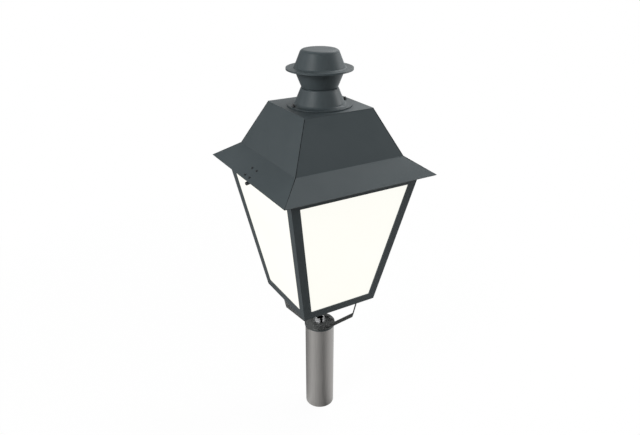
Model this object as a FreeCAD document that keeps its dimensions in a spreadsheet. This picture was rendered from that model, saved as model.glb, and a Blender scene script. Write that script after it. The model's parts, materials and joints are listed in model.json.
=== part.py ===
import FreeCAD, Part
import os
import re

import Sketcher
from FreeCAD import Placement, Rotation, Vector

# Post-top pedestrian lantern: a tapered glazed body on a bent spider over a post stub, under a hinged roof
# with a spun chimney. Millimetres, +Z up, origin at the centre of the post's lower end, glazed front to -Y,
# roof latch to -X and roof hinge to +X.

SIZES = [
    # Post and hub
    ("post_diameter", 81),
    ("post_wall", 3),
    ("post_length", 272),
    ("register_depth", 30),
    ("register_relief", 0.5),
    ("cap_diameter", 85),
    ("cap_flange", 4),
    ("spigot_length", 28),
    ("spigot_wall", 5),
    ("spigot_clearance", 0.1),
    # Bent spider and its fasteners
    ("spider_sheet", 3),
    ("arm_width", 18),
    ("arm_rise", 101),
    ("arm_root", 8),
    ("arm_splay", 14),
    ("arm_kink_rise", 37.5),
    ("foot_length", 22),
    ("foot_inset", 19.5),
    ("bolt_diameter", 6),
    ("bolt_head_width", 10),
    ("bolt_head_height", 4),
    ("bolt_clearance", 0.15),
    ("bolt_grip", 3.5),
    ("bolt_tail", 2),
    ("hub_bolt_circle", 68),
    ("hub_bolt_spread", 14),
    ("nipple_diameter", 26.4),
    ("nipple_wall", 3.7),
    ("nipple_height", 14.5),
    ("nipple_clearance", 0.2),
    ("thread_clearance", 0.02),
    ("locknut_width", 34),
    ("locknut_height", 3),
    # Glazed body
    ("base_width", 212),
    ("body_top_width", 352),
    ("body_height", 372),
    ("bar_width", 22),
    ("bar_thickness", 3),
    ("bottom_rail_height", 21),
    ("top_rail_height", 27),
    ("base_plate_thickness", 2.5),
    ("glazing_thickness", 3),
    ("glazing_overlap", 10),
    ("glazing_clearance", 0.2),
    ("glazing_headroom", 6),
    ("bead_thickness", 3),
    ("bead_height", 12),
    ("gland_diameter", 16),
    ("gland_bore", 10),
    ("gland_collar", 26),
    ("gland_collar_height", 6),
    ("gland_step", 2),
    ("gland_taper", 3),
    ("gland_taper_height", 5),
    ("gland_thread", 7),
    ("gland_length", 20),
    ("gland_nut_width", 24),
    ("gland_nut_height", 5),
    # Roof sheet work
    ("sheet_metal", 2),
    ("eave_overhang", 29),
    ("eave_drop", 1.5),
    ("flare_run", 58.5),
    ("flare_rise", 40),
    ("roof_rise", 112),
    ("roof_top_width", 185.5),
    ("top_flange", 14),
    ("seam_gap", 0.6),
    ("gasket_thickness", 3),
    ("gasket_width", 14),
    ("gasket_inset", 2),
    ("lid_gap", 0.2),
    ("ring_inset", 5),
    ("ring_leg", 18),
    ("ring_sheet", 2.5),
    ("ring_lip", 12),
    ("ring_clearance", 0.3),
    # Chimney
    ("chimney_sheet", 2),
    ("chimney_flange_diameter", 158),
    ("chimney_gasket_thickness", 0.8),
    ("chimney_gasket_inset", 3),
    ("chimney_base_height", 41),
    ("chimney_foot_diameter", 122),
    ("chimney_neck_diameter", 89.5),
    ("bowl_bottom_diameter", 86.5),
    ("bowl_rim_diameter", 122),
    ("bowl_height", 44),
    ("brim_diameter", 160),
    ("brim_lip", 2),
    ("cap_foot_diameter", 122),
    ("cap_top_diameter", 88),
    ("cap_height", 44),
    ("crown_round", 10),
    ("neck_round", 4),
    ("base_foot_round", 8),
    ("cap_foot_round", 5),
    ("tie_rod_diameter", 8),
    ("tie_rod_clearance", 0.2),
    ("tie_rod_tail", 16),
    ("tie_nut_width", 13),
    ("tie_nut_height", 6.5),
    ("chimney_bolt_diameter", 5),
    ("chimney_bolt_stand", 7),
    ("chimney_nut_width", 8),
    ("chimney_nut_height", 4),
    ("chimney_bolt_circle", 142),
    # Light engine on its tray
    ("tray_sheet", 2),
    ("tray_clearance", 0.5),
    ("window_lap", 10),
    ("heat_sink_base", 5),
    ("fin_height", 24),
    ("fin_thickness", 3),
    ("fin_count", 9),
    ("led_board_thickness", 1.6),
    ("led_chip", 5),
    ("led_chip_height", 0.8),
    ("led_margin", 22),
    ("led_rows", 4),
    ("lens_clearance", 1),
    ("lens_lap", 4),
    ("lens_plate_thickness", 6),
    ("lens_pocket", 1.2),
    ("lens_rim", 2.4),
    ("lens_dome_width", 22),
    ("lens_dome_face", 15),
    ("lens_dome_height", 4),
    ("driver_length", 110),
    ("driver_width", 44),
    ("driver_height", 28),
    ("surge_length", 50),
    ("surge_width", 36),
    ("surge_height", 24),
    ("terminal_length", 46),
    ("terminal_width", 28),
    ("terminal_height", 18),
    ("gear_inset", 30.5),
    ("gear_clearance", 9),
    ("gear_gap", 24),
    # Roof hinge
    ("hinge_width", 120),
    ("hinge_pin_diameter", 5),
    ("hinge_barrel_diameter", 10),
    ("hinge_leaf", 2),
    ("hinge_leaf_height", 17),
    ("hinge_web", 5),
    ("roof_web_sheet", 2.5),
    ("roof_web_lift", 2),
    ("hinge_gap", 0.3),
    ("hinge_roof_gap", 0.8),
    ("pin_press", 0.02),
    ("pin_running", 0.06),
    # Roof latch
    ("latch_drop", 9),
    ("cam_out", 5),
    ("cam_sheet", 2),
    ("cam_reach", 12),
    ("cam_width", 5),
    ("cam_hub", 8),
    ("bracket_out", 8),
    ("bracket_sheet", 2),
    ("bracket_leg_width", 12),
    ("bracket_tail", 8),
    ("pad_sheet", 2.5),
    ("pad_start", 4),
    ("pad_length", 33),
    ("pad_width", 36),
    ("knob_diameter", 9),
    ("knob_end", 29),
    ("knob_round", 2.5),
    ("knob_gap", 0.3),
    ("shaft_diameter", 5),
    ("shaft_proud", 0.5),
    ("keeper_sheet", 1.5),
    ("keeper_width", 32),
    ("keeper_reach", 5.1),
    ("lug_width", 9),
    ("lug_height", 3.5),
    ("latch_play", 2),
    ("latch_screw_diameter", 3.2),
    ("latch_screw_head", 5.6),
    ("latch_screw_head_height", 1.6),
    ("latch_screw_low", 10),
    ("latch_screw_high", 33),
    ("latch_screw_spread", 24),
]

FORMULAS = [
    # Post and hub levels
    ("post_radius", "post_diameter / 2"),
    ("bore_radius", "post_radius - post_wall"),
    ("cap_radius", "cap_diameter / 2"),
    ("spigot_radius", "bore_radius + register_relief - spigot_clearance"),
    ("disc_z", "post_length + cap_flange"),
    ("disc_top", "disc_z + spider_sheet"),
    ("base_z", "disc_top + arm_rise"),
    ("nipple_radius", "nipple_diameter / 2"),
    ("floor_half", "base_width / 2 - bar_thickness"),
    ("foot_bolt_radius", "sqrt(2) * (floor_half - foot_inset)"),
    ("arm_top_radius", "foot_bolt_radius - foot_length / 2"),
    ("arm_kink_radius", "arm_top_radius - arm_splay"),
    ("bolt_hole_radius", "bolt_diameter / 2 + bolt_clearance"),
    # Body
    ("body_top", "base_z + body_height"),
    ("taper", "(body_top_width - base_width) / 2 / body_height"),
    ("lean_angle", "atan(taper)"),
    ("floor_z", "base_z + base_plate_thickness"),
    ("glazing_back", "bar_thickness + glazing_clearance + glazing_thickness"),
    # Roof
    ("eave_half", "body_top_width / 2 + eave_overhang"),
    ("eave_z", "body_top - eave_drop"),
    ("kink_half", "eave_half - flare_run"),
    ("kink_z", "eave_z + flare_rise"),
    ("roof_half", "roof_top_width / 2"),
    ("roof_top", "kink_z + roof_rise"),
    ("flare_angle", "atan(flare_rise / flare_run)"),
    ("hip_gap", "seam_gap / sqrt(2)"),
    ("gasket_half", "body_top_width / 2 - gasket_inset"),
    ("ring_z", "body_top + gasket_thickness + lid_gap"),
    ("ring_half", "body_top_width / 2 - ring_inset"),
    ("tray_z", "ring_z + ring_sheet"),
    ("tray_top", "tray_z + tray_sheet"),
    ("tray_half", "ring_half - ring_sheet - tray_clearance"),
    # Light engine: the room that the gear leaves sets the heat sink, and that sets the rest
    ("gear_distance", "kink_half - gear_inset"),
    ("heat_sink_half", "gear_distance - driver_width / 2 - gear_clearance"),
    ("window_half", "heat_sink_half - window_lap"),
    ("lens_half", "window_half - lens_clearance"),
    ("board_half", "lens_half - lens_lap"),
    ("led_pitch", "2 * (board_half - led_margin) / (led_rows - 1)"),
    # Chimney levels
    ("chimney_z", "roof_top + chimney_gasket_thickness"),
    ("neck_z", "chimney_z + chimney_base_height"),
    ("brim_z", "neck_z + bowl_height"),
    ("chimney_top", "brim_z + cap_height"),
    ("rod_hole", "tie_rod_diameter / 2 + tie_rod_clearance"),
    # Hinge axis: outboard of the body, tucked under the flare
    ("barrel_radius", "hinge_barrel_diameter / 2"),
    ("hinge_x", "body_top_width / 2 + barrel_radius + hinge_leaf"),
    (
        "hinge_z",
        "eave_z + ((eave_half - hinge_x) * sin(flare_angle) - sheet_metal - barrel_radius"
        " - hinge_roof_gap) / cos(flare_angle)",
    ),
    ("knuckle", "hinge_width / 3"),
    # Latch axis: square to the tapered left face
    ("latch_z", "body_top - latch_drop"),
    ("latch_half", "base_width / 2 + taper * (latch_z - base_z)"),
    ("leg_face", "bracket_out + bracket_sheet"),
    (
        "leg_reach",
        "((eave_half - latch_half - leg_face * cos(lean_angle)) * sin(flare_angle)"
        " + (eave_z - latch_z + leg_face * sin(lean_angle)) * cos(flare_angle) - sheet_metal"
        " - ring_clearance) / cos(flare_angle - lean_angle)",
    ),
]

SIDES = {"front": 0, "right": 90, "back": 180, "left": 270}
CORNERS = {"front": "front_left", "right": "front_right", "back": "back_right", "left": "back_left"}
X_AXIS = Vector(1, 0, 0)
Y_AXIS = Vector(0, 1, 0)
Z_AXIS = Vector(0, 0, 1)

doc = FreeCAD.newDocument("Lantern")
nodes = []
home = {}


def fill_sheet(name, rows, mark):
    sheet = doc.addObject("Spreadsheet::Sheet", name)
    for row, (alias, content) in enumerate(rows, 1):
        sheet.set(f"A{row}", alias)
        sheet.set(f"B{row}", mark + formula(str(content)))
        sheet.setAlias(f"B{row}", alias)
    home.update({alias: f"{name}.{alias}" for alias, content in rows})
    doc.recompute()
    return sheet


def formula(text):
    """Adds the sheet's name to each size that the text mentions."""
    return re.sub(r"[a-z][a-z0-9_]*", lambda word: home.get(word.group(), word.group()), text)


def value(text):
    """The number that a formula comes to."""
    result = dims.evalExpression(formula(text))
    return float(getattr(result, "Value", result))


def bind(thing, **sizes):
    for prop, text in sizes.items():
        thing.setExpression(prop, formula(text))


def move(thing, x="0", y="0", z="0"):
    for letter, text in zip("xyz", (x, y, z)):
        thing.setExpression(f"Placement.Base.{letter}", formula(text))


def turn(thing, angle):
    thing.Placement = Placement(Vector(), Rotation(Z_AXIS, angle))
    return thing


def node(name, thing):
    """Marks a finished object as a piece of the lantern, under its own name."""
    thing.Label = name
    nodes.append(thing)
    return thing


# Primitives and booleans


def box(name, length, width, height, x="0", y="0", z="0"):
    """A box centred on x and y, standing on z."""
    thing = doc.addObject("Part::Box", name)
    bind(thing, Length=length, Width=width, Height=height)
    move(thing, f"{x} - ({length}) / 2", f"{y} - ({width}) / 2", z)
    return thing


def rod(name, radius, height, x="0", y="0", z="0"):
    thing = doc.addObject("Part::Cylinder", name)
    bind(thing, Radius=radius, Height=height)
    move(thing, x, y, z)
    return thing


def hexagon(name, across_flats, height, x="0", y="0", z="0"):
    thing = doc.addObject("Part::Prism", name)
    thing.Polygon = 6
    bind(thing, Circumradius=f"({across_flats}) / sqrt(3)", Height=height)
    move(thing, x, y, z)
    return thing


def fuse(name, *pieces):
    thing = doc.addObject("Part::MultiFuse", name)
    thing.Shapes = list(pieces)
    thing.Refine = True
    return thing


def group(name, *pieces):
    thing = doc.addObject("Part::Compound", name)
    thing.Links = list(pieces)
    return thing


def cut(name, base, *tools):
    thing = doc.addObject("Part::Cut", name)
    thing.Base = base
    thing.Tool = tools[0] if len(tools) == 1 else group(name + "_tools", *tools)
    return thing


def common(name, base, tool):
    thing = doc.addObject("Part::Common", name)
    thing.Base = base
    thing.Tool = tool
    return thing


# Sketched outlines


def draw(sketch, points, closed):
    """Draws straight lines through points whose two coordinates are formulas."""
    corners = [Vector(value(x), value(y), 0) for x, y in points]
    ends = corners[1:] + corners[:1] if closed else corners[1:]
    for start, end in zip(corners, ends):
        sketch.addGeometry(Part.LineSegment(start, end), False)
    count = len(ends)
    for index in range(count if closed else count - 1):
        sketch.addConstraint(Sketcher.Constraint("Coincident", index, 2, (index + 1) % count, 1))
    for index, (point, corner) in enumerate(zip(points, corners)):
        line, end = (index, 1) if index < count else (index - 1, 2)
        for kind, axis, text, place in zip(("DistanceX", "DistanceY"), (-2, -1), point, corner):
            if text == "0":
                sketch.addConstraint(Sketcher.Constraint("PointOnObject", line, end, axis))
                continue
            row = sketch.addConstraint(Sketcher.Constraint(kind, -1, 1, line, end, place))
            sketch.setExpression(f"Constraints[{row}]", formula(text))


def turned(name, points, rounds=()):
    """A body turned about Z from its half outline; rounds lists (radius, height, round) rims."""
    body = doc.addObject("PartDesign::Body", name)
    sketch = body.newObject("Sketcher::SketchObject", name + "_outline")
    plane = next(item for item in body.Origin.OriginFeatures if item.Role == "XZ_Plane")
    sketch.AttachmentSupport = (plane, [""])
    sketch.MapMode = "FlatFace"
    draw(sketch, points, closed=True)
    spin = body.newObject("PartDesign::Revolution", name + "_turn")
    spin.Profile = sketch
    spin.ReferenceAxis = (sketch, ["V_Axis"])
    spin.Angle = 360
    doc.recompute()
    for radius, height, amount in rounds:
        base = body.Tip
        soft = body.newObject("PartDesign::Fillet", name + "_round")
        soft.Base = (base, [rim(base.Shape, value(radius), value(height))])
        bind(soft, Radius=amount)
        doc.recompute()
    return body


def rim(shape, radius, height):
    """The name of the circular edge with this radius at this height."""
    for number, edge in enumerate(shape.Edges, 1):
        circle = edge.Curve
        if circle.TypeId == "Part::GeomCircle" and abs(circle.Radius - radius) < 1e-4:
            if abs(circle.Center.z - height) < 1e-4:
                return f"Edge{number}"
    raise ValueError(f"no rim of radius {radius} at {height}")


def folded(name, points, thickness, width):
    """A strip of sheet folded along an outline in the XZ plane, which is the sheet's left-hand face."""
    sketch = doc.addObject("Sketcher::SketchObject", name + "_outline")
    sketch.Placement = Placement(Vector(), Rotation(X_AXIS, 90))
    draw(sketch, points, closed=False)
    doc.recompute()
    face = doc.addObject("Part::Offset2D", name + "_face")
    face.Source = sketch
    face.Mode = "Skin"
    face.Join = "Intersection"
    face.Fill = True
    bind(face, Value=f"-({thickness})")
    strip = doc.addObject("Part::Extrusion", name)
    strip.Base = face
    strip.DirMode = "Custom"
    strip.Dir = Y_AXIS
    strip.Solid = True
    strip.Symmetric = True
    bind(strip, LengthFwd=width)
    return strip


# Pieces that follow the body's taper


def half_at(level):
    return f"(base_width / 2 + taper * ({level} - base_z))"


def slab(name, side, bottom, top, left, right, inner, outer):
    """A slab that leans with one side of the body: HALF stands for the body's half width at each level."""
    thing = doc.addObject("Part::Wedge", name)
    thing.Placement = Placement(Vector(), Rotation(Z_AXIS, SIDES[side]) * Rotation(X_AXIS, 90))
    bind(thing, Ymin=bottom, Ymax=top)
    for mark, level in (("", bottom), ("2", top)):
        half = half_at(level)
        edges = {"Xmin": left, "Xmax": right, "Zmin": inner, "Zmax": outer}
        for prop, text in edges.items():
            prop = prop[0] + mark + prop[1:]
            thing.setExpression(prop, formula(text.replace("HALF", half)))
    return thing


# Pieces set on the latch axis or on the left flare


def on_latch(thing, up="0", across="0", out="0"):
    """Sets a piece square to the left face: its X runs up the face, its Z outwards along the latch axis."""
    thing.Placement = Placement(Vector(), Rotation(-Y_AXIS, 90))
    thing.setExpression("Placement.Rotation.Angle", formula("90 deg + lean_angle"))
    x = f"-latch_half - sin(lean_angle) * ({up}) - cos(lean_angle) * ({out})"
    move(thing, x, across, f"latch_z + cos(lean_angle) * ({up}) - sin(lean_angle) * ({out})")
    return thing


def on_flare(thing, along="0", across="0", out="0"):
    """Sets a piece on the left flare: its X runs up the slope from the eave, its Z out of the sheet."""
    thing.Placement = Placement(Vector(), Rotation(-Y_AXIS, 30))
    thing.setExpression("Placement.Rotation.Angle", formula("flare_angle"))
    x = f"-eave_half + cos(flare_angle) * ({along}) - sin(flare_angle) * ({out})"
    move(thing, x, across, f"eave_z + sin(flare_angle) * ({along}) + cos(flare_angle) * ({out})")
    return thing


def plain_box(name, length, width, height):
    thing = doc.addObject("Part::Box", name)
    bind(thing, Length=length, Width=width, Height=height)
    return thing


def plain_rod(name, radius, height):
    thing = doc.addObject("Part::Cylinder", name)
    bind(thing, Radius=radius, Height=height)
    return thing


def under_flare(distance):
    """The height of the flare's underside at a distance from the lantern's axis."""
    return f"(eave_z + ((eave_half - ({distance})) * sin(flare_angle) - sheet_metal) / cos(flare_angle))"


# Post stub, cap and hub


def hub_spots():
    """Where the hub bolts stand: a pair beside the middle of each side."""
    for side, angle in SIDES.items():
        for sign in ("-", "+"):
            heading = f"({angle} {sign} hub_bolt_spread)"
            x = f"hub_bolt_circle / 2 * cos({heading})"
            y = f"hub_bolt_circle / 2 * sin({heading})"
            yield f"{side}_{'low' if sign == '-' else 'high'}", x, y


def foot_spots():
    for side, angle in SIDES.items():
        heading = f"({angle} + 45)"
        yield side, f"foot_bolt_radius * cos({heading})", f"foot_bolt_radius * sin({heading})"


def make_post():
    post = turned(
        "post",
        [
            ("bore_radius", "0"),
            ("post_radius", "0"),
            ("post_radius", "post_length"),
            ("bore_radius + register_relief", "post_length"),
            ("bore_radius + register_relief", "post_length - register_depth"),
            ("bore_radius", "post_length - register_depth"),
        ],
    )
    node("post", post)
    blank = turned(
        "post_cap_blank",
        [
            ("nipple_radius + thread_clearance", "disc_z"),
            ("cap_radius", "disc_z"),
            ("cap_radius", "post_length"),
            ("spigot_radius", "post_length"),
            ("spigot_radius", "post_length - spigot_length"),
            ("spigot_radius - spigot_wall", "post_length - spigot_length"),
            ("spigot_radius - spigot_wall", "post_length"),
            ("nipple_radius + thread_clearance", "post_length"),
        ],
    )
    holes = [
        rod(f"cap_hole_{name}", "bolt_hole_radius", "bolt_grip", x, y, "disc_z - bolt_grip")
        for name, x, y in hub_spots()
    ]
    node("post_cap", cut("post_cap", blank, *holes))


def make_spider():
    disc = rod("spider_disc", "cap_radius", "spider_sheet", z="disc_z")
    outline = [
        ("cap_radius - arm_root", "disc_top"),
        ("cap_radius", "disc_top"),
        ("arm_kink_radius", "disc_top + arm_kink_rise"),
        ("arm_top_radius", "base_z"),
        ("arm_top_radius + foot_length", "base_z"),
    ]
    arms = [
        turn(folded(f"arm_{side}", outline, "spider_sheet", "arm_width"), angle + 45)
        for side, angle in SIDES.items()
    ]
    through = "3 * spider_sheet"
    low = "disc_z - spider_sheet"
    holes = [rod("spider_bore", "nipple_radius + nipple_clearance", through, z=low)]
    for name, x, y in hub_spots():
        holes.append(rod(f"spider_hole_{name}", "bolt_hole_radius", through, x, y, low))
    low = "base_z - 2 * spider_sheet"
    for name, x, y in foot_spots():
        holes.append(rod(f"foot_hole_{name}", "bolt_hole_radius", through, x, y, low))
    node("spider", cut("spider", fuse("spider_blank", disc, *arms), *holes))


def make_hub_fasteners():
    bolts = []
    for name, x, y in hub_spots():
        head = hexagon(f"hub_head_{name}", "bolt_head_width", "bolt_head_height", x, y, "disc_top")
        length = "spider_sheet + bolt_grip"
        shank = rod(f"hub_shank_{name}", "bolt_diameter / 2", length, x, y, "disc_z - bolt_grip")
        bolts.append(fuse(f"hub_bolt_{name}", head, shank))
    node("hub_bolts", group("hub_bolts", *bolts))

    nipple = turned(
        "threaded_nipple",
        [
            ("nipple_radius - nipple_wall", "post_length"),
            ("nipple_radius", "post_length"),
            ("nipple_radius", "disc_top + nipple_height"),
            ("nipple_radius - nipple_wall", "disc_top + nipple_height"),
        ],
    )
    node("threaded_nipple", nipple)
    blank = hexagon("locknut_blank", "locknut_width", "locknut_height", z="disc_top")
    low = "disc_top - locknut_height / 2"
    bore = rod("locknut_bore", "nipple_radius + thread_clearance", "2 * locknut_height", z=low)
    node("nipple_locknut", cut("nipple_locknut", blank, bore))

    bolts = []
    for name, x, y in foot_spots():
        low = "base_z - spider_sheet - bolt_head_height"
        length = "2 * bolt_head_height + spider_sheet + base_plate_thickness + bolt_tail"
        head = hexagon(f"foot_head_{name}", "bolt_head_width", "bolt_head_height", x, y, low)
        shank = rod(f"foot_shank_{name}", "bolt_diameter / 2", length, x, y, low)
        nut = hexagon(f"foot_nut_{name}", "bolt_head_width", "bolt_head_height", x, y, "floor_z")
        bolts.append(fuse(f"arm_bolt_{name}", head, shank, nut))
    node("arm_bolts", group("arm_bolts", *bolts))


# Glazed body


def make_floor():
    plate = box("floor_blank", "2 * floor_half", "2 * floor_half", "base_plate_thickness", z="base_z")
    through = "3 * base_plate_thickness"
    low = "base_z - base_plate_thickness"
    holes = [rod("floor_gland_hole", "gland_diameter / 2 + bolt_clearance", through, z=low)]
    for name, x, y in foot_spots():
        holes.append(rod(f"floor_hole_{name}", "bolt_hole_radius", through, x, y, low))
    node("base_plate", cut("base_plate", plate, *holes))

    gland = turned(
        "cable_gland",
        [
            ("gland_bore / 2", "base_z - gland_length"),
            ("gland_collar / 2 - gland_step - gland_taper", "base_z - gland_length"),
            ("gland_collar / 2 - gland_step", "base_z - gland_length + gland_taper_height"),
            ("gland_collar / 2 - gland_step", "base_z - gland_collar_height"),
            ("gland_collar / 2", "base_z - gland_collar_height"),
            ("gland_collar / 2", "base_z"),
            ("gland_diameter / 2", "base_z"),
            ("gland_diameter / 2", "floor_z + gland_thread"),
            ("gland_bore / 2", "floor_z + gland_thread"),
        ],
    )
    node("cable_gland", gland)
    blank = hexagon("gland_nut_blank", "gland_nut_width", "gland_nut_height", z="floor_z")
    bore = rod("gland_nut_bore", "gland_diameter / 2 + bolt_clearance", "2 * gland_nut_height", z="base_z")
    node("gland_nut", cut("gland_nut", blank, bore))


def make_cage():
    for side, corner in CORNERS.items():
        wide = slab(f"post_wide_{corner}", side, "base_z", "body_top",
                    "-HALF", "-HALF + bar_width", "HALF - bar_thickness", "HALF")
        deep = slab(f"post_deep_{corner}", side, "base_z", "body_top",
                    "-HALF", "-HALF + bar_thickness", "HALF - bar_width", "HALF - bar_thickness")
        name = f"corner_post_{corner}"
        node(name, fuse(name, wide, deep))
    for side in SIDES:
        low = slab(f"bottom_rail_{side}", side, "base_z", "base_z + bottom_rail_height",
                   "-HALF + bar_width", "HALF - bar_width", "HALF - bar_thickness", "HALF")
        node(f"bottom_rail_{side}", low)
        high = slab(f"top_rail_{side}", side, "body_top - top_rail_height", "body_top",
                    "-HALF + bar_width", "HALF - bar_width", "HALF - bar_thickness", "HALF")
        node(f"top_rail_{side}", high)


def make_glazing():
    edge = "HALF - bar_width + glazing_overlap"
    beads = []
    for side in SIDES:
        pane = slab(f"opal_panel_{side}", side, "floor_z", "body_top - glazing_headroom",
                    f"-({edge})", edge, "HALF - glazing_back", "HALF - bar_thickness - glazing_clearance")
        node(f"opal_panel_{side}", pane)
        inside = "HALF - glazing_back - glazing_clearance"
        end = f"{inside} - 2 * bead_thickness"
        beads.append(slab(f"bead_{side}", side, "floor_z", "floor_z + bead_height",
                          f"-({end})", end, f"{inside} - bead_thickness", inside))
    node("glazing_beads", group("glazing_beads", *beads))


def make_gasket():
    strips = []
    for name, sign in (("front", "-"), ("back", "")):
        strips.append(box(f"gasket_{name}", "2 * gasket_half", "gasket_width", "gasket_thickness",
                          y=f"{sign}(gasket_half - gasket_width / 2)", z="body_top"))
    for name, sign in (("left", "-"), ("right", "")):
        strips.append(box(f"gasket_{name}", "gasket_width", "2 * (gasket_half - gasket_width - lid_gap)",
                          "gasket_thickness", x=f"{sign}(gasket_half - gasket_width / 2)", z="body_top"))
    node("lid_gasket", group("lid_gasket", *strips))


# Roof


def make_roof_sheets():
    profile = [
        ("-eave_half", "eave_z"),
        ("-kink_half", "kink_z"),
        ("-roof_half", "roof_top - sheet_metal"),
        ("-roof_half + top_flange", "roof_top - sheet_metal"),
    ]
    strip = folded("panel_strip", profile, "sheet_metal", "2 * eave_half + flare_run")
    bar_profile = [
        ("-ring_half + ring_leg", "ring_z"),
        ("-ring_half", "ring_z"),
        ("-ring_half", under_flare("ring_half")),
        ("-ring_half + ring_lip", under_flare("ring_half - ring_lip")),
    ]
    bar = folded("ring_strip", bar_profile, "ring_sheet", "2 * eave_half")
    mitre = make_mitre()
    for side, angle in SIDES.items():
        panel = common(f"panel_{side}", strip, mitre)
        frame = common(f"frame_{side}", bar, mitre)
        if side == "left":
            panel = cut("panel_left_drilled", panel, *latch_screw_holes())
        node(f"roof_panel_{side}", turn(panel, angle + 90))
        node(f"roof_frame_{side}", turn(frame, angle + 90))

    seat = "roof_top - sheet_metal"
    plate = box("top_plate_blank", "roof_top_width", "roof_top_width", "sheet_metal", z=seat)
    low = "roof_top - 2 * sheet_metal"
    holes = [rod("top_plate_rod_hole", "rod_hole", "3 * sheet_metal", z=low)]
    for name, x in (("left", "-chimney_bolt_circle / 2"), ("right", "chimney_bolt_circle / 2")):
        holes.append(rod(f"top_plate_hole_{name}", "chimney_bolt_diameter / 2 + bolt_clearance",
                         "3 * sheet_metal", x, z=low))
    node("roof_top_plate", cut("roof_top_plate", plate, *holes))


def make_mitre():
    """The quarter of the roof that belongs to the left side, cut back at both hips by half the seam."""
    thing = doc.addObject("Part::Wedge", "roof_mitre")
    thing.Placement = Placement(Vector(), Rotation(Z_AXIS, 90))
    near = "top_flange"
    far = "(eave_half + flare_run)"
    bind(thing, Ymin=near, Ymax=far, Zmin="eave_z - flare_rise", Zmax="roof_top + flare_rise")
    bind(thing, Z2min="eave_z - flare_rise", Z2max="roof_top + flare_rise")
    bind(thing, Xmin=f"hip_gap - {near}", Xmax=f"{near} - hip_gap")
    bind(thing, X2min=f"hip_gap - {far}", X2max=f"{far} - hip_gap")
    return thing


# Chimney


def make_chimney():
    foot = "chimney_foot_diameter / 2"
    neck = "chimney_neck_diameter / 2"
    blank = turned(
        "chimney_base_blank",
        [
            ("rod_hole", "neck_z"),
            (neck, "neck_z"),
            (foot, "chimney_z + chimney_sheet"),
            ("chimney_flange_diameter / 2", "chimney_z + chimney_sheet"),
            ("chimney_flange_diameter / 2", "chimney_z"),
            (f"{foot} - chimney_sheet", "chimney_z"),
            (f"{neck} - chimney_sheet", "neck_z - chimney_sheet"),
            ("rod_hole", "neck_z - chimney_sheet"),
        ],
        [(neck, "neck_z", "neck_round"), (foot, "chimney_z + chimney_sheet", "base_foot_round")],
    )
    seal = turned(
        "chimney_gasket_blank",
        [
            (f"{foot} - chimney_sheet", "roof_top"),
            ("chimney_flange_diameter / 2 - chimney_gasket_inset", "roof_top"),
            ("chimney_flange_diameter / 2 - chimney_gasket_inset", "chimney_z"),
            (f"{foot} - chimney_sheet", "chimney_z"),
        ],
    )
    holes = []
    bolts = []
    for name, x in (("left", "-chimney_bolt_circle / 2"), ("right", "chimney_bolt_circle / 2")):
        radius = "chimney_bolt_diameter / 2 + bolt_clearance"
        holes.append(rod(f"flange_hole_{name}", radius, "2 * chimney_base_height", x,
                         z="roof_top - chimney_base_height"))
        low = "roof_top - 2 * sheet_metal"
        height = f"chimney_z + chimney_sheet + chimney_bolt_stand - ({low})"
        shank = rod(f"chimney_shank_{name}", "chimney_bolt_diameter / 2", height, x, z=low)
        nut = hexagon(f"chimney_nut_{name}", "chimney_nut_width", "chimney_nut_height", x,
                      z="chimney_z + chimney_sheet")
        bolts.append(fuse(f"chimney_bolt_{name}", shank, nut))
    node("chimney_base", cut("chimney_base", blank, *holes))
    node("chimney_gasket", cut("chimney_gasket", seal, *holes))
    node("chimney_bolts", group("chimney_bolts", *bolts))

    bottom = "bowl_bottom_diameter / 2"
    edge = "bowl_rim_diameter / 2"
    bowl = turned(
        "chimney_bowl",
        [
            ("rod_hole", "neck_z"),
            (bottom, "neck_z"),
            (edge, "brim_z"),
            (f"{edge} - chimney_sheet", "brim_z"),
            (f"{bottom} - chimney_sheet", "neck_z + chimney_sheet"),
            ("rod_hole", "neck_z + chimney_sheet"),
        ],
        [(bottom, "neck_z", "neck_round")],
    )
    node("chimney_bowl", bowl)

    foot = "cap_foot_diameter / 2"
    crown = "cap_top_diameter / 2"
    hat = turned(
        "chimney_cap",
        [
            ("0", "chimney_top"),
            (crown, "chimney_top"),
            (foot, "brim_z + chimney_sheet"),
            ("brim_diameter / 2", "brim_z + chimney_sheet"),
            ("brim_diameter / 2", "brim_z - brim_lip"),
            ("brim_diameter / 2 - chimney_sheet", "brim_z - brim_lip"),
            ("brim_diameter / 2 - chimney_sheet", "brim_z"),
            (f"{foot} - chimney_sheet", "brim_z"),
            (f"{crown} - chimney_sheet", "chimney_top - chimney_sheet"),
            ("0", "chimney_top - chimney_sheet"),
        ],
        [
            (crown, "chimney_top", "crown_round"),
            (f"{crown} - chimney_sheet", "chimney_top - chimney_sheet", "crown_round - chimney_sheet"),
            (foot, "brim_z + chimney_sheet", "cap_foot_round"),
        ],
    )
    node("chimney_cap", hat)

    low = "roof_top - sheet_metal - tie_rod_tail"
    stem = rod("chimney_tie_rod", "tie_rod_diameter / 2", f"chimney_top - chimney_sheet - ({low})", z=low)
    node("chimney_tie_rod", stem)
    low = "roof_top - sheet_metal - tie_nut_height"
    blank = hexagon("tie_nut_blank", "tie_nut_width", "tie_nut_height", z=low)
    radius = "tie_rod_diameter / 2 + thread_clearance"
    bore = rod("tie_nut_bore", radius, "2 * tie_nut_height", z=f"{low} - tie_nut_height / 2")
    node("tie_rod_nut", cut("tie_rod_nut", blank, bore))


# Light engine


def led_spots():
    rows = int(value("led_rows"))
    for column in range(rows):
        for line in range(rows):
            x = f"led_pitch * ({column} - (led_rows - 1) / 2)"
            y = f"led_pitch * ({line} - (led_rows - 1) / 2)"
            yield f"{column}_{line}", x, y


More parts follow.
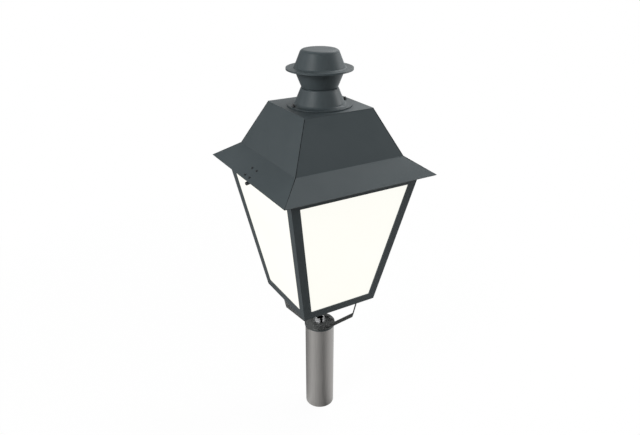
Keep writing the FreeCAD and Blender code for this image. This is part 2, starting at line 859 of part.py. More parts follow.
def make_gear():
    sheet = box("tray_blank", "2 * tray_half", "2 * tray_half", "tray_sheet", z="tray_z")
    width = "2 * window_half"
    window = box("tray_opening", width, width, "3 * tray_sheet", z="tray_z - tray_sheet")
    node("gear_tray", cut("gear_tray", sheet, window))

    width = "2 * heat_sink_half"
    fins = [box("heat_sink_plate", width, width, "heat_sink_base", z="tray_top")]
    count = int(value("fin_count"))
    for index in range(count):
        x = f"({width} - fin_thickness) * ({index} / (fin_count - 1) - 0.5)"
        height = "fin_height + heat_sink_base"
        fins.append(box(f"fin_{index}", "fin_thickness", width, height, x, z="tray_top"))
    node("heat_sink", fuse("heat_sink", *fins))

    width = "2 * board_half"
    board_z = "tray_top - led_board_thickness"
    board = [box("led_panel", width, width, "led_board_thickness", z=board_z)]
    for name, x, y in led_spots():
        low = f"{board_z} - led_chip_height"
        board.append(box(f"led_{name}", "led_chip", "led_chip", "2 * led_chip_height", x, y, low))
    node("led_board", fuse("led_board", *board))

    width = "2 * lens_half"
    low = f"{board_z} - lens_plate_thickness"
    plate = [box("lens_slab", width, width, "lens_plate_thickness", z=low)]
    for name, x, y in led_spots():
        dome = doc.addObject("Part::Cone", f"lens_{name}")
        bind(dome, Radius1="lens_dome_face / 2", Radius2="lens_dome_width / 2")
        bind(dome, Height="lens_dome_height + lens_pocket")
        move(dome, x, y, f"{low} - lens_dome_height")
        plate.append(dome)
    width = "2 * (board_half - lens_rim)"
    pocket = box("lens_hollow", width, width, "2 * lens_pocket", z=f"{board_z} - lens_pocket")
    node("lens_plate", cut("lens_plate", fuse("lens_blank", *plate), pocket))

    driver = box("driver", "driver_length", "driver_width", "driver_height", y="gear_distance", z="tray_top")
    node("driver", driver)
    surge = box("surge_protector", "surge_length", "surge_width", "surge_height",
                "-(surge_length + gear_gap) / 2", "-gear_distance", "tray_top")
    node("surge_protector", surge)
    terminal = box("terminal_block", "terminal_length", "terminal_width", "terminal_height",
                   "(terminal_length + gear_gap) / 2", "-gear_distance", "tray_top")
    node("terminal_block", terminal)


# Roof hinge on the right


def barrel(name, start, length, radius):
    thing = doc.addObject("Part::Cylinder", name)
    thing.Placement = Placement(Vector(), Rotation(X_AXIS, -90))
    bind(thing, Radius=radius, Height=length)
    move(thing, "hinge_x", start, "hinge_z")
    return thing


def make_hinge():
    inner = "body_top_width / 2"
    leaf = slab("hinge_plate", "right", "body_top - hinge_leaf_height", "body_top",
                "-hinge_width / 2", "hinge_width / 2", "HALF", "HALF + hinge_leaf")
    pieces = [leaf]
    long = "(knuckle - hinge_gap)"
    for name, middle, start in (("near", "-knuckle - hinge_gap / 2", "-hinge_width / 2"),
                                ("far", "knuckle + hinge_gap / 2", "knuckle / 2 + hinge_gap")):
        pieces.append(barrel(f"fixed_knuckle_{name}", start, long, "barrel_radius"))
        low = "hinge_z - barrel_radius - hinge_web / 2"
        pieces.append(box(f"fixed_web_{name}", f"hinge_x - {inner}", long, "hinge_web",
                          f"(hinge_x + {inner}) / 2", middle, low))
    bore = barrel("fixed_bore", "-hinge_width", "2 * hinge_width", "hinge_pin_diameter / 2 + pin_press")
    node("hinge_leaf_body", cut("hinge_leaf_body", fuse("fixed_leaf", *pieces), bore))

    plate_height = f"{under_flare('ring_half + hinge_leaf')} - ring_clearance - tray_z"
    plate = box("roof_leaf_plate", "hinge_leaf", "knuckle", plate_height,
                "ring_half + hinge_leaf / 2", z="tray_z")
    web = box("roof_web", "hinge_x - ring_half", "knuckle", "roof_web_sheet",
              "(hinge_x + ring_half) / 2", z="hinge_z + roof_web_lift")
    knuckle = barrel("roof_knuckle", "-knuckle / 2", "knuckle", "barrel_radius")
    bore = barrel("roof_bore", "-hinge_width", "2 * hinge_width", "hinge_pin_diameter / 2 + pin_running")
    node("hinge_leaf_roof", cut("hinge_leaf_roof", fuse("roof_leaf", plate, web, knuckle), bore))
    node("hinge_pin", barrel("hinge_pin", "-hinge_width / 2", "hinge_width", "hinge_pin_diameter / 2"))


# Roof latch on the left


def latch_screw_spots():
    for along in ("low", "high"):
        for name, sign in (("near", "-"), ("far", "")):
            yield f"{along}_{name}", f"latch_screw_{along}", f"{sign}latch_screw_spread / 2"


def latch_screw_holes():
    depth = "3 * (sheet_metal + pad_sheet)"
    return [
        on_flare(plain_rod(f"flare_hole_{name}", "latch_screw_diameter / 2 + bolt_clearance", depth),
                 along, across, f"-({depth}) / 2")
        for name, along, across in latch_screw_spots()
    ]


def make_latch():
    pad = on_flare(plain_box("latch_pad", "pad_length", "pad_width", "pad_sheet"),
                   "pad_start", "-pad_width / 2", "-sheet_metal - pad_sheet")
    leg = on_latch(plain_box("latch_leg", "leg_reach + bracket_tail", "bracket_leg_width", "bracket_sheet"),
                   "-bracket_tail", "-bracket_leg_width / 2", "bracket_out")
    holes = [on_latch(plain_rod("latch_bearing", "shaft_diameter / 2 + pin_running", "3 * bracket_sheet"),
                      out="bracket_out - bracket_sheet")]
    node("latch_bracket", cut("latch_bracket", fuse("bracket_blank", pad, leg), *holes, *pad_screw_holes()))

    screws = []
    for name, along, across in latch_screw_spots():
        length = "sheet_metal + pad_sheet"
        shank = plain_rod(f"latch_shank_{name}", "latch_screw_diameter / 2", length)
        on_flare(shank, along, across, f"-({length})")
        head = plain_rod(f"latch_head_{name}", "latch_screw_head / 2", "latch_screw_head_height")
        on_flare(head, along, across)
        screws.append(fuse(f"latch_screw_{name}", shank, head))
    node("latch_screws", group("latch_screws", *screws))

    knob = turned(
        "latch_knob",
        [
            ("0", "cam_out - shaft_proud"),
            ("shaft_diameter / 2", "cam_out - shaft_proud"),
            ("shaft_diameter / 2", "leg_face + knob_gap"),
            ("knob_diameter / 2", "leg_face + knob_gap"),
            ("knob_diameter / 2", "knob_end"),
            ("0", "knob_end"),
        ],
        [("knob_diameter / 2", "knob_end", "knob_round")],
    )
    node("latch_knob", on_latch(knob))

    hub = on_latch(plain_rod("cam_hub_disc", "cam_hub / 2", "cam_sheet"), out="cam_out")
    tongue = on_latch(plain_box("cam_tongue", "cam_reach", "cam_width", "cam_sheet"),
                      "-cam_reach", "-cam_width / 2", "cam_out")
    bore = plain_rod("cam_bore", "shaft_diameter / 2 + pin_press", "3 * cam_sheet")
    on_latch(bore, out="cam_out - cam_sheet")
    node("latch_cam", cut("latch_cam", fuse("cam_blank", hub, tongue), bore))

    lug_low = "latch_z + cam_width / 2 + latch_play"
    lug_top = f"{lug_low} + lug_height"
    side = "keeper_width / 2"
    plate = slab("keeper_plate", "left", "latch_z - cam_reach", lug_top,
                 f"-{side}", side, "HALF", "HALF + keeper_sheet")
    reach = "HALF + keeper_sheet + keeper_reach"
    near = slab("keeper_lug_near", "left", lug_low, lug_top,
                f"-{side}", f"-{side} + lug_width", "HALF", reach)
    far = slab("keeper_lug_far", "left", lug_low, lug_top,
               f"{side} - lug_width", side, "HALF", reach)
    node("latch_keeper", fuse("latch_keeper", plate, near, far))


def pad_screw_holes():
    depth = "3 * pad_sheet"
    return [
        on_flare(plain_rod(f"pad_hole_{name}", "latch_screw_diameter / 2 + bolt_clearance", depth),
                 along, across, "-sheet_metal - 2 * pad_sheet")
        for name, along, across in latch_screw_spots()
    ]


def check_and_write():
    """Stops on any object that failed, then writes one file for each piece."""
    doc.recompute()
    for thing in doc.Objects:
        if {"Invalid", "Error"} & set(thing.State):
            raise RuntimeError(f"{thing.Label} failed: {thing.State}")
    for thing in nodes:
        shape = thing.Shape
        if shape.isNull() or not shape.isValid() or not shape.Solids:
            raise RuntimeError(f"{thing.Label} has no sound solid")
    os.makedirs("parts", exist_ok=True)
    for thing in nodes:
        thing.Shape.exportStep(os.path.join("parts", thing.Label + ".step"))
    print(len(nodes), "pieces written")


dims = fill_sheet("Dims", SIZES, "")
fill_sheet("Derived", FORMULAS, "=")
make_post()
make_spider()
make_hub_fasteners()
make_floor()
make_cage()
make_glazing()
make_gasket()
make_roof_sheets()
make_chimney()
make_gear()
make_hinge()
make_latch()
check_and_write()
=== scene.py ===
# %% [markdown]
# # A post-top pedestrian lantern
#
# The CAD model brings every rigid piece in its true size: post stub, bent spider, glazed body, hipped roof
# with its chimney, hinge, latch and the light engine. Blender adds what CAD is poor at: finishes with grain
# and tone, fine trim such as threads, seams and sockets, the glow of the opal panels, and the studio.

# %% Load the frame
import json
import math

import bpy
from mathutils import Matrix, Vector


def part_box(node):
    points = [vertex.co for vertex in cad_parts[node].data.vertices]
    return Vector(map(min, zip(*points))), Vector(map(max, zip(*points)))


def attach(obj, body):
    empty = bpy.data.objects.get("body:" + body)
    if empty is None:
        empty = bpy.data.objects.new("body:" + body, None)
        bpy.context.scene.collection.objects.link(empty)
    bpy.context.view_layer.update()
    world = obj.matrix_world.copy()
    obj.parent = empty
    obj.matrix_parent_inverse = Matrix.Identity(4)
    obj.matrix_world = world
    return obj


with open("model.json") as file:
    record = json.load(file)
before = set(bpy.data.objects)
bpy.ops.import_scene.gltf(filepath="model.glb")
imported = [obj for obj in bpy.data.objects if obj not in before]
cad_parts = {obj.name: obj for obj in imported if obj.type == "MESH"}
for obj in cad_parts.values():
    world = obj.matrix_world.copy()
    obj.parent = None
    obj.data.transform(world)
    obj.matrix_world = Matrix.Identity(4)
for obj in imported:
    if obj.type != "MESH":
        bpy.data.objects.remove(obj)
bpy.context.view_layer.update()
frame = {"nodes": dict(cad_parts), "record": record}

nodes = frame["nodes"]
MM = 0.001  # the scene is in metres

# %% [markdown]
# ## Small helpers for node trees
#
# Shaders and geometry are both graphs of nodes. They could be wired by hand in the editor, but then the
# lesson could not be run again. Three helpers keep the script short: one adds a node and sets its sockets by
# name, one starts a tree with named inputs and outputs, and one mixes two colours.

# %% Node helpers
def add(tree, kind, sockets=None, **settings):
    """A new node; a socket is either linked to another one or set to a value."""
    node = tree.nodes.new(kind)
    for key, value in settings.items():
        setattr(node, key, value)
    for key, value in (sockets or {}).items():
        if isinstance(value, bpy.types.NodeSocket):
            tree.links.new(value, node.inputs[key])
        else:
            node.inputs[key].default_value = value
    return node


def start_tree(name, kind, inputs, outputs):
    tree = bpy.data.node_groups.new(name, kind)
    for label, socket in inputs.items():
        tree.interface.new_socket(label, in_out="INPUT", socket_type="NodeSocket" + socket)
    for label, socket in outputs.items():
        tree.interface.new_socket(label, in_out="OUTPUT", socket_type="NodeSocket" + socket)
    return tree, add(tree, "NodeGroupInput").outputs, add(tree, "NodeGroupOutput").inputs


# A colour mix has its first and second colour at inputs 6 and 7 and its result at output 2.
FIRST, SECOND, MIXED = 6, 7, 2


def mix_colours(tree, factor, first, second):
    sockets = {"Factor": factor, FIRST: first, SECOND: second}
    return add(tree, "ShaderNodeMix", sockets, data_type="RGBA").outputs[MIXED]


# %% [markdown]
# ## Shared surface effects
#
# Powder coat, rubber and moulded plastic all have a fine grain under a slow drift of tone. One shader group
# makes both from noise on object coordinates, which are metres here, so the grain has a real size. Drawn
# and milled metal has lines instead, and a second group stretches its noise along one axis. A picture of a
# surface could do the same, but it would need unwrapping and would blur close up.

# %% Noise of a real size
FINE_DETAIL, SLOW_DETAIL, LINE_DETAIL = 3.0, 2.0, 4.0  # more detail adds finer layers of noise


def noise(tree, place, size, detail):
    per_metre = add(tree, "ShaderNodeMath", {0: 1.0, 1: size}, operation="DIVIDE").outputs[0]
    sockets = {"Vector": place, "Scale": per_metre, "Detail": detail}
    return add(tree, "ShaderNodeTexNoise", sockets).outputs["Fac"]


# %% Grain and line groups
def build_grain():
    inputs = {"Grain size": "Float", "Drift size": "Float"}
    outputs = {"Tone": "Float", "Fine": "Float", "Height": "Float"}
    tree, given, out = start_tree("surface_grain", "ShaderNodeTree", inputs, outputs)
    place = add(tree, "ShaderNodeTexCoord").outputs["Object"]
    fine = noise(tree, place, given["Grain size"], FINE_DETAIL)
    slow = noise(tree, place, given["Drift size"], SLOW_DETAIL)
    for source, label in ((slow, "Tone"), (fine, "Fine"), (fine, "Height")):
        tree.links.new(source, out[label])
    return tree


def build_lines():
    inputs = {"Stretch": "Vector", "Line size": "Float"}
    outputs = {"Tone": "Float", "Height": "Float"}
    tree, given, out = start_tree("drawn_lines", "ShaderNodeTree", inputs, outputs)
    place = add(tree, "ShaderNodeTexCoord").outputs["Object"]
    drawn = add(tree, "ShaderNodeVectorMath", {0: place, 1: given["Stretch"]}, operation="MULTIPLY")
    lines = noise(tree, drawn.outputs[0], given["Line size"], LINE_DETAIL)
    for label in outputs:
        tree.links.new(lines, out[label])
    return tree


GRAIN = build_grain()
LINES = build_lines()
print("shader groups", GRAIN.name, LINES.name)

# %% [markdown]
# ## One recipe for every finish
#
# Every finish is a Principled shader whose colour and roughness move a little over the surface, with the
# same noise raising a small bump. Each material could be built by itself, but one helper keeps them alike:
# it takes two colours, two roughness values and the strength and height of the bump. What is the same all
# over, such as metalness, is set on the shader itself.

# %% From noise to colours and values
NOISE_LOW, NOISE_HIGH = 0.3, 0.7  # the range in which noise mostly lies


def blend(tree, factor, low, high):
    """A colour that runs from low to high over the range of the noise."""
    ramp = add(tree, "ShaderNodeValToRGB", {"Fac": factor})
    for stop, position, colour in zip(ramp.color_ramp.elements, (NOISE_LOW, NOISE_HIGH), (low, high)):
        stop.position = position
        stop.color = (*colour, 1)
    return ramp.outputs["Color"]


def spread(tree, factor, low, high):
    """A value that runs from low to high over the range of the noise."""
    sockets = {"Value": factor, "From Min": NOISE_LOW, "From Max": NOISE_HIGH, "To Min": low, "To Max": high}
    return add(tree, "ShaderNodeMapRange", sockets).outputs["Result"]


# %% The finish itself
def finish(name, group, sizes, low, high, rough, bump, **plain):
    """A material driven by one of the groups; plain sockets are set on the shader itself."""
    made = bpy.data.materials.new(name)
    made.use_nodes = True
    tree = made.node_tree
    shader = tree.nodes["Principled BSDF"]
    surface = add(tree, "ShaderNodeGroup", sizes, node_tree=group)
    tone = surface.outputs["Tone"]
    fine = surface.outputs.get("Fine") or tone
    tree.links.new(blend(tree, tone, low, high), shader.inputs["Base Color"])
    tree.links.new(spread(tree, fine, *rough), shader.inputs["Roughness"])
    strength, height = bump
    relief = add(tree, "ShaderNodeBump",
                 {"Height": surface.outputs["Height"], "Strength": strength, "Distance": height})
    tree.links.new(relief.outputs["Normal"], shader.inputs["Normal"])
    for label, value in plain.items():
        shader.inputs[label.replace("_", " ")].default_value = value
    return made


# %% [markdown]
# ## Coats
#
# The lantern's sheet metal is powder coated in a dark anthracite with a low satin gloss. The spider under it
# has the same coat, but its copy here is a lighter, plainer grey: painted light, as the spider sits in the
# shade of the body. One flat colour would look like plastic close up, so both have the same grain, each in
# colours of its own. A low specular level keeps the coat dark where it faces a bright wall, as a fine texture
# does on the real sheet.

# %% Powder coats
coat_grain = {"Grain size": 0.7 * MM, "Drift size": 90 * MM}
coat_gloss = {"rough": (0.42, 0.52), "bump": (0.12, 0.05 * MM), "Specular_IOR_Level": 0.22}
powder_coat = finish("powder_coat", GRAIN, coat_grain, **coat_gloss,
                     low=(0.057, 0.072, 0.078), high=(0.065, 0.080, 0.086))
# A lighter copy of the coat for the spider: painted light on a part that sits in shade.
spider_coat_painted_light = finish("spider_coat_painted_light", GRAIN, coat_grain, **coat_gloss,
                   low=(0.108, 0.114, 0.112), high=(0.122, 0.128, 0.125))
print("coats", powder_coat.name, spider_coat_painted_light.name)

# %% [markdown]
# ## Fixings and the post
#
# The post is satin steel with fine lines drawn along it, so its noise is stretched upwards. Screws are
# blackened, bolts are dull, and the nipple is bright plate. All could be full metals, but a full metal shows
# only the room that it mirrors, so each one is partly metallic and keeps some colour of its own.

# %% Steels
satin_steel = finish("satin_steel", LINES, {"Stretch": (1.0, 1.0, 0.02), "Line size": 1.2 * MM},
                     low=(0.33, 0.32, 0.31), high=(0.40, 0.39, 0.375),
                     rough=(0.34, 0.46), bump=(0.08, 0.02 * MM), Metallic=0.85)
black_oxide = finish("black_oxide", GRAIN, {"Grain size": 0.5 * MM, "Drift size": 6 * MM},
                     low=(0.032, 0.035, 0.037), high=(0.050, 0.053, 0.056),
                     rough=(0.34, 0.48), bump=(0.2, 0.03 * MM), Metallic=0.3)
dull_steel = finish("dull_steel", GRAIN, {"Grain size": 0.6 * MM, "Drift size": 5 * MM},
                    low=(0.14, 0.145, 0.145), high=(0.22, 0.225, 0.225),
                    rough=(0.32, 0.46), bump=(0.2, 0.03 * MM), Metallic=0.5)
bright_plate = finish("bright_plate", LINES, {"Stretch": (0.3, 0.3, 1.0), "Line size": 4.0 * MM},
                      low=(0.80, 0.81, 0.82), high=(0.84, 0.85, 0.86),
                      rough=(0.2, 0.28), bump=(0.05, 0.01 * MM), Metallic=0.3)
print("steels", [made.name for made in (satin_steel, black_oxide, dull_steel, bright_plate)])

# %% [markdown]
# ## Bare aluminium
#
# The gear tray, the frame of the roof and the glazing beads are plain mill metal, and the heat sink is an
# extrusion. They differ in the direction of their lines: sheet is rolled one way, and an extrusion is drawn
# along its fins. A picture of brushed metal could show that, but stretched noise needs no unwrapping.

# %% Aluminium
mill_aluminium = finish("mill_aluminium", LINES, {"Stretch": (0.05, 1.0, 1.0), "Line size": 1.5 * MM},
                        low=(0.50, 0.51, 0.52), high=(0.62, 0.63, 0.64),
                        rough=(0.35, 0.5), bump=(0.15, 0.03 * MM), Metallic=0.9)
extruded_aluminium = finish("extruded_aluminium", LINES,
                            {"Stretch": (1.0, 0.03, 1.0), "Line size": 0.8 * MM},
                            low=(0.42, 0.43, 0.44), high=(0.56, 0.57, 0.58),
                            rough=(0.4, 0.55), bump=(0.2, 0.04 * MM), Metallic=0.9)
print("aluminium", mill_aluminium.name, extruded_aluminium.name)

# %% [markdown]
# ## Rubber, mouldings and the lens
#
# Gaskets are matt rubber, the gland and the gear are moulded plastic, and the board behind the lens is white.
# They could each have a texture of their own, but at this size one soft grain fits all, and colour and
# roughness tell them apart. A dead dark finish without shine paints the shade in seams and sockets, and the
# dark reflection on the nipple. The lens plate is clear, so most of what it shows passes through it.

# %% Rubber and mouldings
soft_grain = {"Grain size": 0.6 * MM, "Drift size": 25 * MM}
seal_rubber = finish("seal_rubber", GRAIN, soft_grain, low=(0.012, 0.012, 0.012), high=(0.024, 0.024, 0.025),
                     rough=(0.75, 0.9), bump=(0.3, 0.05 * MM))
black_moulding = finish("black_moulding", GRAIN, soft_grain,
                        low=(0.018, 0.018, 0.019), high=(0.032, 0.032, 0.033),
                        rough=(0.45, 0.6), bump=(0.2, 0.05 * MM))
white_moulding = finish("white_moulding", GRAIN, soft_grain, low=(0.66, 0.66, 0.64), high=(0.74, 0.74, 0.72),
                        rough=(0.4, 0.55), bump=(0.15, 0.05 * MM))
board_mask = finish("board_mask", GRAIN, soft_grain, low=(0.72, 0.73, 0.72), high=(0.80, 0.81, 0.80),
                    rough=(0.25, 0.35), bump=(0.08, 0.03 * MM))
# Painted shade for seams and sockets, and a painted dark reflection on the nipple.
seam_shadow = finish("seam_shadow", GRAIN, soft_grain, low=(0.008, 0.010, 0.011), high=(0.014, 0.016, 0.017),
                     rough=(0.7, 0.85), bump=(0.2, 0.05 * MM), Specular_IOR_Level=0.0)
clear_lens = finish("clear_lens", GRAIN, {"Grain size": 2 * MM, "Drift size": 40 * MM},
                    low=(0.90, 0.92, 0.92), high=(0.96, 0.97, 0.97),
                    rough=(0.05, 0.12), bump=(0.02, 0.02 * MM), Transmission_Weight=0.9)
print("finishes so far", len(bpy.data.materials))

# %% [markdown]
# ## Lit opal panels
#
# The panels are matt opal sheet with the light on behind them. Lamps inside the body could light them, but
# the sheet would need many samples to clear its noise. Its own emission gives the same even face: it leans
# to cream and drifts a little, as light does that has bounced inside a white housing.

# %% Opal finish
GLOW = 0.965


def lit_opal():
    made = finish("opal_sheet", GRAIN, {"Grain size": 1.5 * MM, "Drift size": 160 * MM},
                  low=(0.105, 0.105, 0.095), high=(0.115, 0.115, 0.105),
                  rough=(0.35, 0.42), bump=(0.05, 0.03 * MM), Specular_IOR_Level=0.0, Emission_Strength=GLOW)
    tree = made.node_tree
    tone = next(node for node in tree.nodes if node.type == "GROUP").outputs["Tone"]
    glow = blend(tree, tone, low=(1.0, 0.99, 0.925), high=(1.0, 0.995, 0.94))
    tree.links.new(glow, tree.nodes["Principled BSDF"].inputs["Emission Color"])
    return made


opal_sheet = lit_opal()
print("opal glows at", GLOW)

# %% [markdown]
# ## Painted shade inside the nipple
#
# Light barely gets into the hollow nipple, so its bore is painted in shade. A second material on its inner
# faces would do, but they would have to be picked out of the CAD mesh. So its plating is a copy of the bright
# plate with a mask on the distance from the lantern's axis, which paints the bore near black with shade and
# leaves the outside.

# %% Plated tube
# Painted shade: the colour of the bore within BORE_REACH of the axis.
BORE_PAINTED_SHADE = (0.004, 0.004, 0.004, 1)
BORE_REACH = 10 * MM  # from the axis to just past the face of the bore
LEVEL_PART = (1, 1, 0)  # takes the height out of a place


def plate_tube_with_bore_shade():
    made = bright_plate.copy()
    made.name = "plated_tube_bore_shade"
    tree = made.node_tree
    colour = tree.nodes["Principled BSDF"].inputs["Base Color"]
    place = add(tree, "ShaderNodeTexCoord").outputs["Object"]
    flat = add(tree, "ShaderNodeVectorMath", {0: place, 1: LEVEL_PART}, operation="MULTIPLY").outputs[0]
    from_axis = add(tree, "ShaderNodeVectorMath", {0: flat}, operation="LENGTH").outputs["Value"]
    # Painted shade: 1 inside the bore, where the colour goes near black.
    bore_shade = add(tree, "ShaderNodeMath", {0: from_axis, 1: BORE_REACH}, operation="LESS_THAN").outputs[0]
    tree.links.new(mix_colours(tree, bore_shade, colour.links[0].from_socket, BORE_PAINTED_SHADE), colour)
    return made


plated_tube_bore_shade = plate_tube_with_bore_shade()
print("tube", plated_tube_bore_shade.name, "dark within", BORE_REACH, "m of the axis")

# %% [markdown]
# ## Dressing the CAD pieces
#
# The record names a material slot for each CAD piece. Each piece could be dressed by hand, but one table from
# slot to finish dresses them all, and a new piece in the same slot gets the same finish. Two pieces have a
# finish of their own: the spider has a lighter copy of the coat with painted light, and the nipple has a
# plate with painted shade in its bore.

# %% Assign finishes
SLOT_FINISH = {
    "coated_sheet": powder_coat, "post_metal": satin_steel, "black_fixings": black_oxide,
    "dull_steel": dull_steel, "plated_steel": bright_plate, "bare_sheet": mill_aluminium,
    "heat_sink": extruded_aluminium, "opal": opal_sheet, "seal": seal_rubber,
    "black_plastic": black_moulding, "white_plastic": white_moulding, "led_board": board_mask,
    "lens": clear_lens,
}
# The spider's coat has painted light, and the nipple's plate has painted shade in its bore.
PIECE_FINISH = {"spider": spider_coat_painted_light, "threaded_nipple": plated_tube_bore_shade}
for row in frame["record"]["subparts"]:
    mesh = nodes[row["node"]].data
    mesh.materials.clear()
    mesh.materials.append(PIECE_FINISH.get(row["node"], SLOT_FINISH[row["material_slot"]]))

# %% [markdown]
# ## Growing trim with geometry nodes
#
# Trim could be modelled piece by piece, but a geometry tree is a small recipe with named sizes that can run
# again. `grow` runs a recipe on a carrier mesh, keeps the result as a plain mesh with its place in its
# vertices, and lets it ride on the body that carries it. The carrier and its modifier go, so only a finished
# piece is left.

# %% Run a recipe
def set_inputs(modifier, values):
    """Sets a recipe's inputs, which a modifier knows by identifier and not by name."""
    for item in modifier.node_group.interface.items_tree:
        if item.item_type == "SOCKET" and item.in_out == "INPUT" and item.name in values:
            modifier[item.identifier] = values[item.name]


def grow(name, recipe, points, edges, body, slot, **values):
    carrier_mesh = bpy.data.meshes.new(name + "_carrier")
    carrier_mesh.from_pydata(points, edges, [])
    carrier = bpy.data.objects.new(name + "_carrier", carrier_mesh)
    bpy.context.scene.collection.objects.link(carrier)
    modifier = carrier.modifiers.new("recipe", "NODES")
    modifier.node_group = recipe
    set_inputs(modifier, values)
    graph = bpy.context.evaluated_depsgraph_get()
    mesh = bpy.data.meshes.new_from_object(carrier.evaluated_get(graph))
    bpy.data.objects.remove(carrier)
    piece = bpy.data.objects.new(name, mesh)
    bpy.context.scene.collection.objects.link(piece)
    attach(piece, body)
    print(name, len(mesh.polygons), "faces")


# %% How every recipe starts and ends
def start_recipe(name, **inputs):
    inputs = {"Geometry": "Geometry", **inputs, "Material": "Material"}
    return start_tree(name, "GeometryNodeTree", inputs, {"Geometry": "Geometry"})


def close_recipe(tree, out, geometry, given):
    real = add(tree, "GeometryNodeRealizeInstances", {"Geometry": geometry})
    sockets = {"Geometry": real.outputs[0], "Material": given["Material"]}
    tree.links.new(add(tree, "GeometryNodeSetMaterial", sockets).outputs[0], out["Geometry"])
    print("recipe", tree.name)
    return tree


def sweep(tree, path, section):
    """A closed bar with the given section along the path."""
    sockets = {"Curve": path.outputs[0], "Profile Curve": section.outputs[0], "Fill Caps": True}
    return add(tree, "GeometryNodeCurveToMesh", sockets).outputs[0]


# %% [markdown]
# ## Hip seams
#
# The roof panels are folded sheets that meet at the hips, and each hip shows as a thin dark line of shade in
# the joint. A gap in the sheets would be too fine to see from afar, so a dark round bead is swept along the
# hip, partly sunk into the joint, which paints that shade from every side. It dives under the sheet at the
# eave, where the line fades.
# The path is read from the panels: eave corner, kink and top corner all lie on the diagonal.

# %% Bead recipe
def build_bead():
    tree, given, out = start_recipe("bead_along_path", Radius="Float", Facets="Int")
    path = add(tree, "GeometryNodeMeshToCurve", {"Mesh": given["Geometry"]})
    ring = add(tree, "GeometryNodeCurvePrimitiveCircle",
               {"Radius": given["Radius"], "Resolution": given["Facets"]})
    return close_recipe(tree, out, sweep(tree, path, ring), given)


BEAD = build_bead()

# %% Where the hips run
END_CLEAR = 5 * MM  # keeps the ends of a panel out of the search for its kink


def hip_profile(panel):
    """Half widths and heights of the eave, the kink and the top of a roof panel's outer face."""
    points = [vertex.co for vertex in nodes[panel].data.vertices]
    eave = max(points, key=lambda co: -co.y)
    top = max(points, key=lambda co: (round(co.z, 5), -co.y))
    rise = [co for co in points if eave.z + END_CLEAR < co.z < top.z - END_CLEAR]
    slope = (top.z - eave.z) / (top.y - eave.y)
    kink = max(rise, key=lambda co: co.z - slope * (co.y - eave.y))
    return [(-eave.y, eave.z), (-kink.y, kink.z), (-top.y, top.z)]


profile = hip_profile("roof_panel_front")
print("hip profile", [(round(half, 4), round(z, 4)) for half, z in profile])

# %% Hip seams
SEAM_RADIUS = 0.65 * MM
SEAM_INSETS = (1.3 * MM, 0.2 * MM, 0.2 * MM)  # from the edge, at the eave, the kink and the top
CORNERS = ((-1, -1), (1, -1), (1, 1), (-1, 1))  # once around, as signs of x and y
seam_points, seam_edges = [], []
for right, back in CORNERS:
    first = len(seam_points)
    seam_points += [((half - inset) * right, (half - inset) * back, z)
                    for (half, z), inset in zip(profile, SEAM_INSETS)]
    seam_edges += [(first, first + 1), (first + 1, first + 2)]
# A dark bead: painted shade along each hip.
grow("hip_seams", BEAD, seam_points, seam_edges, "roof", "seal",
     Radius=SEAM_RADIUS, Facets=10, Material=seam_shadow)

# %% [markdown]
# ## Thread on the hollow nipple
#
# The supply cable comes up through a plated tube, which a lock nut clamps to the hub. A few turns of its
# thread show above the nut, and the rest of the tube is smooth. A thread could be cut with a boolean, but it
# is only a spiral with a small round profile, so a spiral curve and one sweep make it more cleanly.

# %% Thread recipe
def build_thread():
    tree, given, out = start_recipe("thread_on_tube", Foot="Vector", Radius="Float", Height="Float",
                                    Turns="Float", Ridge="Float", Steps="Int", Facets="Int")
    spiral = add(tree, "GeometryNodeCurveSpiral",
                 {"Resolution": given["Steps"], "Rotations": given["Turns"], "Height": given["Height"],
                  "Start Radius": given["Radius"], "End Radius": given["Radius"]})
    seat = add(tree, "GeometryNodeTransform",
               {"Geometry": spiral.outputs[0], "Translation": given["Foot"]})
    ridge = add(tree, "GeometryNodeCurvePrimitiveCircle",
                {"Radius": given["Ridge"], "Resolution": given["Facets"]})
    return close_recipe(tree, out, sweep(tree, seat, ridge), given)


THREAD = build_thread()

# %% Turns above the lock nut
PITCH, TURNS, RIDGE = 1.5 * MM, 3, 0.25 * MM
AT_ORIGIN = [(0, 0, 0)]  # the carrier of a recipe that makes its own path
disc_top, nut_top = (corner.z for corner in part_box("nipple_locknut"))
tube_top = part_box("threaded_nipple")[1]
grow("nipple_thread", THREAD, AT_ORIGIN, [], "lantern_base", "plated_steel",
     Foot=(0, 0, nut_top + PITCH / 2), Radius=tube_top.x, Height=TURNS * PITCH, Turns=TURNS,
     Ridge=RIDGE, Steps=40, Facets=6, Material=plated_tube_bore_shade)

# %% [markdown]
# ## Small trim that repeats
#
# Washers, hexagon sockets and screw heads repeat all over the lantern. Each could be copied by hand, but one
# recipe sets a short prism on every point of a carrier, and its number of sides makes it a disc or a hexagon.
# The points come from the CAD pieces: a bolt or screw is a loose solid inside its node, so a helper finds the
# middle of each one.

# %% Prism recipe
def build_prisms():
    tree, given, out = start_recipe("prisms_on_points", Radius="Float", Thickness="Float", Sides="Int",
                                    Turn="Vector")
    spots = add(tree, "GeometryNodeMeshToPoints", {"Mesh": given["Geometry"]})
    prism = add(tree, "GeometryNodeMeshCylinder",
                {"Vertices": given["Sides"], "Radius": given["Radius"], "Depth": given["Thickness"]})
    turn = add(tree, "FunctionNodeEulerToRotation", {"Euler": given["Turn"]})
    copies = add(tree, "GeometryNodeInstanceOnPoints",
                 {"Points": spots.outputs[0], "Instance": prism.outputs["Mesh"],
                  "Rotation": turn.outputs[0]})
    return close_recipe(tree, out, copies.outputs[0], given)


PRISMS = build_prisms()

